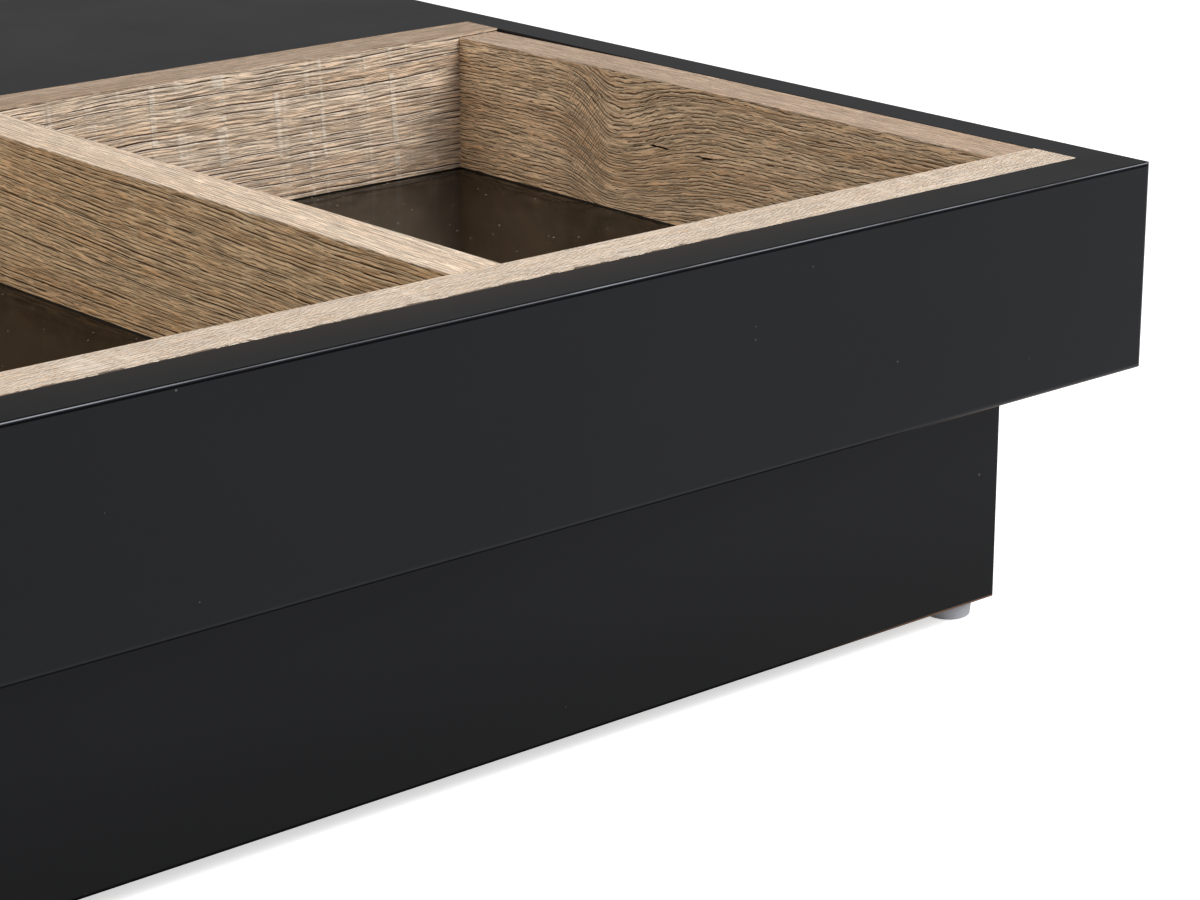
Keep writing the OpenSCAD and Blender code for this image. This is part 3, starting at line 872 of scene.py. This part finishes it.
def screw_tree():
    """Puts a countersunk screw with a cross recess and a thread on each point, along its aim."""
    tree, enter, identifiers, close = new_geometry_tree("threaded screws", {
        "Length": "Float", "Head radius": "Float", "Shank radius": "Float", "Pitch": "Float",
        "Core": "Float", "Seed": "Int", "Material": "Material",
    })
    head, shank, length = enter["Head radius"], enter["Shank radius"], enter["Length"]
    core = shank * enter["Core"]
    neck = head - shank
    plain_end = length * 0.22 + neck
    tip_start = length - shank * 2.0

    # The recess: two crossed bars, cut from the head
    cut_head = add_node(tree, "GeometryNodeMeshBoolean",
                        {"operation": "DIFFERENCE", "solver": "EXACT"},
                        cone_part(tree, 0.0, neck, head, shank))
    bar_length, bar_width = head * 1.1, head * 0.24
    for size in (join(bar_length, bar_width, head), join(bar_width, bar_length, head)):
        feed(cut_head.node.inputs[1], add_node(tree, "GeometryNodeMeshCube", Size=size)[0])

    # The thread: a ridge swept along a helix, from the plain shank into the tip
    run = length - shank - plain_end
    helix = add_node(tree, "GeometryNodeCurveSpiral", Resolution=18,
                     Rotations=run / (shank * 2.0 * enter["Pitch"]), Start_Radius=core,
                     End_Radius=core * 0.75, Height=run)[0]
    ridge = add_node(tree, "GeometryNodeCurvePrimitiveCircle", Resolution=4, Radius=shank - core)
    thread = add_node(tree, "GeometryNodeCurveToMesh", Curve=raised(tree, helix, plain_end),
                      Profile_Curve=ridge[0], Fill_Caps=True)[0]

    screw = add_node(tree, "GeometryNodeJoinGeometry")
    for part in (
        cut_head[0],
        cone_part(tree, neck, plain_end, shank, shank),
        cone_part(tree, plain_end, tip_start, core, core),
        cone_part(tree, tip_start, length, core, 0.0),
        thread,
    ):
        feed(screw.node.inputs[0], part)
    aim = add_node(tree, "GeometryNodeInputNamedAttribute", {"data_type": "FLOAT_VECTOR"},
                   Name="aim")["Attribute"]
    facing = add_node(tree, "FunctionNodeAlignRotationToVector", {"axis": "Z"}, Vector=aim)[0]
    placed = add_node(tree, "GeometryNodeInstanceOnPoints", Points=enter["Geometry"],
                      Instance=screw[0], Rotation=facing)[0]
    turn = add_node(tree, "FunctionNodeRandomValue", {"data_type": "FLOAT"}, Seed=enter["Seed"])[1]
    turned = add_node(tree, "FunctionNodeEulerToRotation", Euler=join(0.0, 0.0, turn * math.pi))
    close(add_node(tree, "GeometryNodeRotateInstances", Instances=placed, Rotation=turned[0])[0])
    return tree, identifiers


def ball_tree():
    """Puts a row of balls on a level circle."""
    tree, enter, identifiers, close = new_geometry_tree("ball row", {
        "Count": "Int", "Row radius": "Float", "Ball radius": "Float", "Height": "Float",
        "First turn": "Float", "Material": "Material",
    })
    circle = add_node(tree, "GeometryNodeMeshCircle", Vertices=enter["Count"],
                      Radius=enter["Row radius"])[0]
    turned = add_node(tree, "FunctionNodeEulerToRotation",
                      Euler=join(0.0, 0.0, enter["First turn"]))[0]
    row = add_node(tree, "GeometryNodeTransform", Geometry=circle, Rotation=turned,
                   Translation=join(0.0, 0.0, enter["Height"]))[0]
    ball = add_node(tree, "GeometryNodeMeshIcoSphere", Radius=enter["Ball radius"],
                    Subdivisions=4)[0]
    close(add_node(tree, "GeometryNodeInstanceOnPoints", Points=row, Instance=ball)[0])
    return tree, identifiers


def grow(name, tree, identifiers, values, points=(), aims=()):
    """The plain mesh that a geometry node tree makes of these points, values and aims."""
    seeds = bpy.data.meshes.new(name + "_points")
    seeds.from_pydata([tuple(p) for p in points], [], [])
    if aims:
        stored = seeds.attributes.new("aim", "FLOAT_VECTOR", "POINT")
        for item, aim in zip(stored.data, aims):
            item.vector = aim
    maker = bpy.data.objects.new(name + "_maker", seeds)
    bpy.context.scene.collection.objects.link(maker)
    modifier = maker.modifiers.new("nodes", "NODES")
    modifier.node_group = tree
    for key, value in values.items():
        modifier[identifiers[key]] = value
    depsgraph = bpy.context.evaluated_depsgraph_get()
    data = bpy.data.meshes.new_from_object(maker.evaluated_get(depsgraph))
    data.name = name
    bpy.data.objects.remove(maker)
    bpy.data.meshes.remove(seeds)
    data.shade_smooth()
    data.set_sharp_from_angle(angle=SMOOTH_ANGLE)
    return data


def screw_places(node):
    """The middle of each head, the way each screw points, and the sizes they share."""
    heads, aims, sizes = [], [], {}
    for corners in solids_of(node):
        low, high = box_round(corners)
        middle = (low + high) / 2
        axis = max(range(3), key=lambda i: high[i] - low[i])
        length = high[axis] - low[axis]
        aside = [i for i in range(3) if i != axis]
        spread = [(math.hypot(*(c[i] - middle[i] for i in aside)), c[axis]) for c in corners]
        head_radius = max(far for far, _ in spread)
        rim = [run for far, run in spread if far > 0.98 * head_radius]
        head_high = sum(rim) / len(rim) > middle[axis]
        head = middle.copy()
        head[axis] = high[axis] if head_high else low[axis]
        aim = Vector((0, 0, 0))
        aim[axis] = -1 if head_high else 1
        heads.append(head)
        aims.append(aim)
        shank = max(far for far, run in spread if abs(run - head[axis]) > length / 2)
        sizes = {"Length": length, "Head radius": head_radius, "Shank radius": shank}
    return heads, aims, sizes


# Studio


def mix_shaders(factor, first, second):
    """The first shader, with as much of the second as factor says."""
    return add_node(tree_of(factor), "ShaderNodeMixShader", None, factor, first, second)[0]


def make_floor(studio):
    """A pale floor that fades into the room, and that a camera below it sees through."""
    mesh = bmesh.new()
    bmesh.ops.create_circle(mesh, cap_ends=True, segments=96, radius=FLOOR_RADIUS)
    data = bpy.data.meshes.new("studio_floor")
    mesh.to_mesh(data)
    mesh.free()
    floor = bpy.data.objects.new("studio_floor", data)
    bpy.context.scene.collection.objects.link(floor)
    material, tree = bare_material("studio_floor")
    place = add_node(tree, "ShaderNodeTexCoord")["Object"]
    away = add_node(tree, "ShaderNodeVectorMath", {"operation": "LENGTH"}, Vector=place)["Value"]
    matt = add_node(tree, "ShaderNodeBsdfDiffuse", Color=(0.80, 0.80, 0.80, 1))[0]
    glow = add_node(tree, "ShaderNodeEmission", Color=(1, 1, 1, 1), Strength=0.62)[0]
    lit = add_node(tree, "ShaderNodeAddShader", None, matt, glow)[0]
    path = add_node(tree, "ShaderNodeLightPath")
    seen = most(path["Is Camera Ray"], path["Is Transmission Ray"])
    mirrored = add_node(tree, "ShaderNodeEmission", Color=(0.86, 0.87, 0.90, 1))[0]
    near = mix_shaders(path["Is Glossy Ray"], mix_shaders(seen, matt, lit), mirrored)
    room = add_node(tree, "ShaderNodeEmission", Color=(*[studio.ambient] * 3, 1))[0]
    upper = mix_shaders(rise(away, FADE_START, FADE_END), near, room)
    below = add_node(tree, "ShaderNodeNewGeometry")["Backfacing"]
    clear = add_node(tree, "ShaderNodeBsdfTransparent")[0]
    add_node(tree, "ShaderNodeOutputMaterial", Surface=mix_shaders(below, upper, clear))
    data.materials.append(material)


def make_world(studio):
    """An even grey room."""
    world = bpy.data.worlds.new("studio")
    bpy.context.scene.world = world
    world.use_nodes = True
    back = world.node_tree.nodes["Background"]
    back.inputs["Color"].default_value = (*[studio.ambient] * 3, 1)


def make_lamp(name, power, size, stand, aim):
    """A square softbox that points at a place and leaves no glare on the black top."""
    data = bpy.data.lights.new(name, "AREA")
    data.energy = power
    data.shape = "SQUARE"
    data.size = size
    lamp = bpy.data.objects.new(name, data)
    lamp.visible_glossy = False
    lamp.location = stand
    lamp.rotation_mode = "QUATERNION"
    lamp.rotation_quaternion = (Vector(aim) - Vector(stand)).to_track_quat("-Z", "Y")
    bpy.context.scene.collection.objects.link(lamp)


def make_camera(studio):
    """The camera at the photograph's place, on a 36 mm wide sensor."""
    data = bpy.data.cameras.new("camera")
    data.sensor_fit = "HORIZONTAL"
    data.sensor_width = 36
    data.lens = studio.lens
    data.clip_start = 0.05
    data.clip_end = 200
    camera = bpy.data.objects.new("camera", data)
    camera.location = studio.stand
    camera.rotation_euler = (math.pi / 2 - studio.pitch, 0, -studio.yaw)
    bpy.context.scene.collection.objects.link(camera)
    bpy.context.scene.camera = camera


# Operators


class TABLE_OT_stage(bpy.types.Operator):
    """Makes the floor, the room, the lamps and the camera"""

    bl_idname = "table.stage"
    bl_label = "Stage"

    def execute(self, context):
        studio = context.scene.table_studio
        context.scene.view_settings.view_transform = "Standard"
        make_floor(studio)
        make_world(studio)
        make_lamp("key_lamp", studio.key_power, size=3.3, stand=(1.72, -2.74, 3.23),
                  aim=(0.1, -0.3, 0.2))
        make_lamp("fill_lamp", studio.fill_power, size=2.4, stand=(-2.9, 0.5, 2.0),
                  aim=(0.0, -0.2, 0.2))
        make_camera(studio)
        return {"FINISHED"}


class TABLE_OT_lacquer(bpy.types.Operator):
    """Lacquers the tray box, the flat top and the plinth"""

    bl_idname = "table.lacquer"
    bl_label = "Lacquer"

    def execute(self, context):
        lacquer = context.scene.table_lacquer
        groups = shared_groups(context.scene)
        on_box = {"raw_foot": 1.4 * MM, "wear": 0.10, "foot_shade": 0.95}
        coat(LACQUERED_BOX, lacquer_material("lacquer_box", lacquer, LACQUERED_BOX, groups,
                                             **on_box))
        # The front wall's rim gets a painted reflection of the oak and painted shade near the arris
        coat(("front_wall",), lacquer_material("lacquer_front", lacquer, LACQUERED_BOX, groups,
                                               **on_box, rim_reflects_oak=True))
        # The plinth is painted far darker towards its foot, as painted shade
        coat(LACQUERED_PLINTH, lacquer_material("lacquer_plinth", lacquer, LACQUERED_PLINTH,
                                                groups, raw_foot=2 * MM, wear=0.45,
                                                foot_shade=0.10))
        return {"FINISHED"}


class TABLE_OT_oak(bpy.types.Operator):
    """Builds the oak rails and the divider"""

    bl_idname = "table.oak"
    bl_label = "Oak rails"

    def execute(self, context):
        oak = context.scene.table_oak
        groups = shared_groups(context.scene)
        far_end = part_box("right_rail")[1].y

        def flush(_run):
            return 0.0

        def low(_run):
            return 1.2 * MM

        def low_far_end(run):
            # From 0.25 mm to 2.2 mm low over the last 170 mm
            share = max(0.0, 1.0 - (far_end - run) / (170 * MM))
            return (0.25 + 1.95 * share) * MM

        # Each board: axis, reach of its chips, drop of its top, tints of sides and top, share of
        # the pores and flecks on the top, and the look of its grain
        boards = {
            "front_rail": (
                0, (1.6 * MM, 0.5 * MM), flush, (EVEN, FAIR, 0.35, 1.0), {"Waves": 0.3}),
            "cross_rail": (
                0, (0.4 * MM, 0.4 * MM), flush, (MILD, DUSKY, 0.85, 0.0),
                {"Slope": -0.01, "Waves": 0.15, "Fine pores": 0.42}),
            "left_rail": (
                1, (0.4 * MM, 0.4 * MM), low, (WARM, DEEP, 0.7, 0.0),
                {"Slope": 0.02, "Saw marks": 0.5, "Waves": 0.6}),
            "right_rail": (
                1, (0.5 * MM, 0.4 * MM), low_far_end, (WARM, DEEP, 0.8, 0.0),
                {"Knot along": -0.195, "Knot across": 0.062, "Long pores": 0.4,
                 "Saw marks": 0.3, "Waves": 1.0, "Fine pores": 0.85}),
            "divider": (
                1, (0.5 * MM, 0.5 * MM), flush, (SHADY, MILD, 0.95, 0.15),
                {"Slope": -0.03, "Saw marks": 0.5, "Waves": 0.1}),
        }
        dark_board = board_material()
        for seed, (node, (along, ragged, drop, faces, look)) in enumerate(boards.items(), 1):
            data = oak_board(node, along, ragged, drop, seed * 3.7)
            low_corner, high_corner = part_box(node)
            half = (high_corner.y - low_corner.y) / 2
            chipped = half if node == "front_rail" else None
            data.materials.append(
                oak_material(node + "_oak", oak, groups, seed * 1.37, *faces, look, chipped))
            data.materials.append(dark_board)
            place_piece(node + "_oak", data, node)
        return {"FINISHED"}


class TABLE_OT_tray_floors(bpy.types.Operator):
    """Finishes the compartment floors"""

    bl_idname = "table.tray_floors"
    bl_label = "Compartment floors"

    def execute(self, context):
        groups = shared_groups(context.scene)
        coat(("left_tray_floor", "right_tray_floor"), tray_floor_material(groups))
        return {"FINISHED"}


class TABLE_OT_boards(bpy.types.Operator):
    """Finishes the base board, the ribs and the deck"""

    bl_idname = "table.boards"
    bl_label = "Boards"

    def execute(self, context):
        coat(("base_board", "top_ribs", "deck_board"), board_material())
        return {"FINISHED"}


class TABLE_OT_timber(bpy.types.Operator):
    """Finishes the pine cleats, rails and blocks, and the beech dowels"""

    bl_idname = "table.timber"
    bl_label = "Timber"

    def execute(self, context):
        # The cleats at both sides, in the outer 20 mm, run along Y
        for name, node in (("pine_top", "top_cleats"), ("pine_deck", "deck_cleats")):
            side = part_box(node)[1].x - 20 * MM
            coat((node,), pine_material(name, along_y_beyond=side))
        coat(("deck_rails",), pine_material("pine_rails"))
        coat(("corner_blocks",), pine_material("pine_blocks", upright=True))
        coat(("box_dowels", "plinth_dowels"), beech_material())
        return {"FINISHED"}


class TABLE_OT_turntable(bpy.types.Operator):
    """Finishes the races and the cage, and builds the balls"""

    bl_idname = "table.turntable"
    bl_label = "Turntable"

    def execute(self, context):
        aluminium = metal_material("aluminium", (0.70, 0.71, 0.73, 1), (0.58, 0.59, 0.61, 1),
                                   0.26, 0.12, shared_groups(context.scene))
        coat(("upper_race", "lower_race"), aluminium)
        steel = metal_material("bearing_steel", (0.62, 0.62, 0.64, 1), (0.50, 0.49, 0.48, 1),
                               0.07, 0.10)
        tree, identifiers = ball_tree()
        balls = solids_of("turntable_balls")
        first = sum(balls[0], Vector()) / len(balls[0])
        low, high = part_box("turntable_balls")
        data = grow("polished_balls", tree, identifiers, {
            "Count": len(balls), "Row radius": math.hypot(first.x, first.y),
            "Ball radius": (high.z - low.z) / 2, "Height": (high.z + low.z) / 2,
            "First turn": math.atan2(first.y, first.x), "Material": steel,
        })
        place_piece("polished_balls", data, "turntable_balls")
        coat(("ball_cage",), plastic_material("nylon", (0.78, 0.76, 0.68, 1),
                                              (0.66, 0.63, 0.54, 1), 0.42, 0.3))
        return {"FINISHED"}


class TABLE_OT_fixings(bpy.types.Operator):
    """Builds the screws and finishes the nails"""

    bl_idname = "table.fixings"
    bl_label = "Screws and nails"

    def execute(self, context):
        zinc = metal_material("zinc_steel", (0.60, 0.61, 0.63, 1), (0.46, 0.44, 0.38, 1),
                              0.24, 0.22)
        coat(("glide_nails",), zinc)
        fixings = context.scene.table_fixings
        tree, identifiers = screw_tree()
        for seed, node in enumerate(SCREWS):
            heads, aims, sizes = screw_places(node)
            values = {"Pitch": fixings.pitch, "Core": fixings.core, "Seed": seed, "Material": zinc}
            data = grow(node + "_threaded", tree, identifiers, {**sizes, **values}, heads, aims)
            place_piece(node + "_threaded", data, node)
        return {"FINISHED"}


class TABLE_OT_glides(bpy.types.Operator):
    """Finishes the glides"""

    bl_idname = "table.glides"
    bl_label = "Glides"

    def execute(self, context):
        coat(("glides",), plastic_material("glide_plastic", (0.48, 0.485, 0.52, 1),
                                           (0.38, 0.385, 0.41, 1), 0.45, 0.4))
        return {"FINISHED"}


class TABLE_PT_sidebar(bpy.types.Panel):
    """Lists the table's pieces and their settings"""

    bl_label = "Swivel coffee table"
    bl_idname = "TABLE_PT_sidebar"
    bl_space_type = "VIEW_3D"
    bl_region_type = "UI"
    bl_category = "Table"

    def draw(self, context):
        for name in SETTINGS:
            group = getattr(context.scene, name)
            box = self.layout.box()
            for key in group.__annotations__:
                box.prop(group, key)
        for step in STEPS:
            self.layout.operator(step.bl_idname)


STEPS = (
    TABLE_OT_stage,
    TABLE_OT_lacquer,
    TABLE_OT_oak,
    TABLE_OT_tray_floors,
    TABLE_OT_boards,
    TABLE_OT_timber,
    TABLE_OT_turntable,
    TABLE_OT_fixings,
    TABLE_OT_glides,
)
SETTINGS = {
    "table_lacquer": TableLacquer,
    "table_oak": TableOak,
    "table_fixings": TableFixings,
    "table_studio": TableStudio,
}
CLASSES = (*SETTINGS.values(), *STEPS, TABLE_PT_sidebar)


def shared_groups(scene):
    """The node groups that several materials use, built once."""
    makers = {
        "dust": dust_group,
        "arris": arris_group,
        "turned": turned_group,
        "oak decor": lambda: oak_group(scene.table_oak, knot_group()),
    }
    return {name: bpy.data.node_groups.get(name) or make() for name, make in makers.items()}


def register():
    for kind in CLASSES:
        bpy.utils.register_class(kind)
    for name, group in SETTINGS.items():
        setattr(bpy.types.Scene, name, bpy.props.PointerProperty(type=group))


def unregister():
    for name in SETTINGS:
        delattr(bpy.types.Scene, name)
    for kind in reversed(CLASSES):
        bpy.utils.unregister_class(kind)


def main():
    """Registers the add-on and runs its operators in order."""
    register()
    for step in STEPS:
        area, name = step.bl_idname.split(".")
        getattr(getattr(bpy.ops, area), name)()


if __name__ == "__main__":
    main()
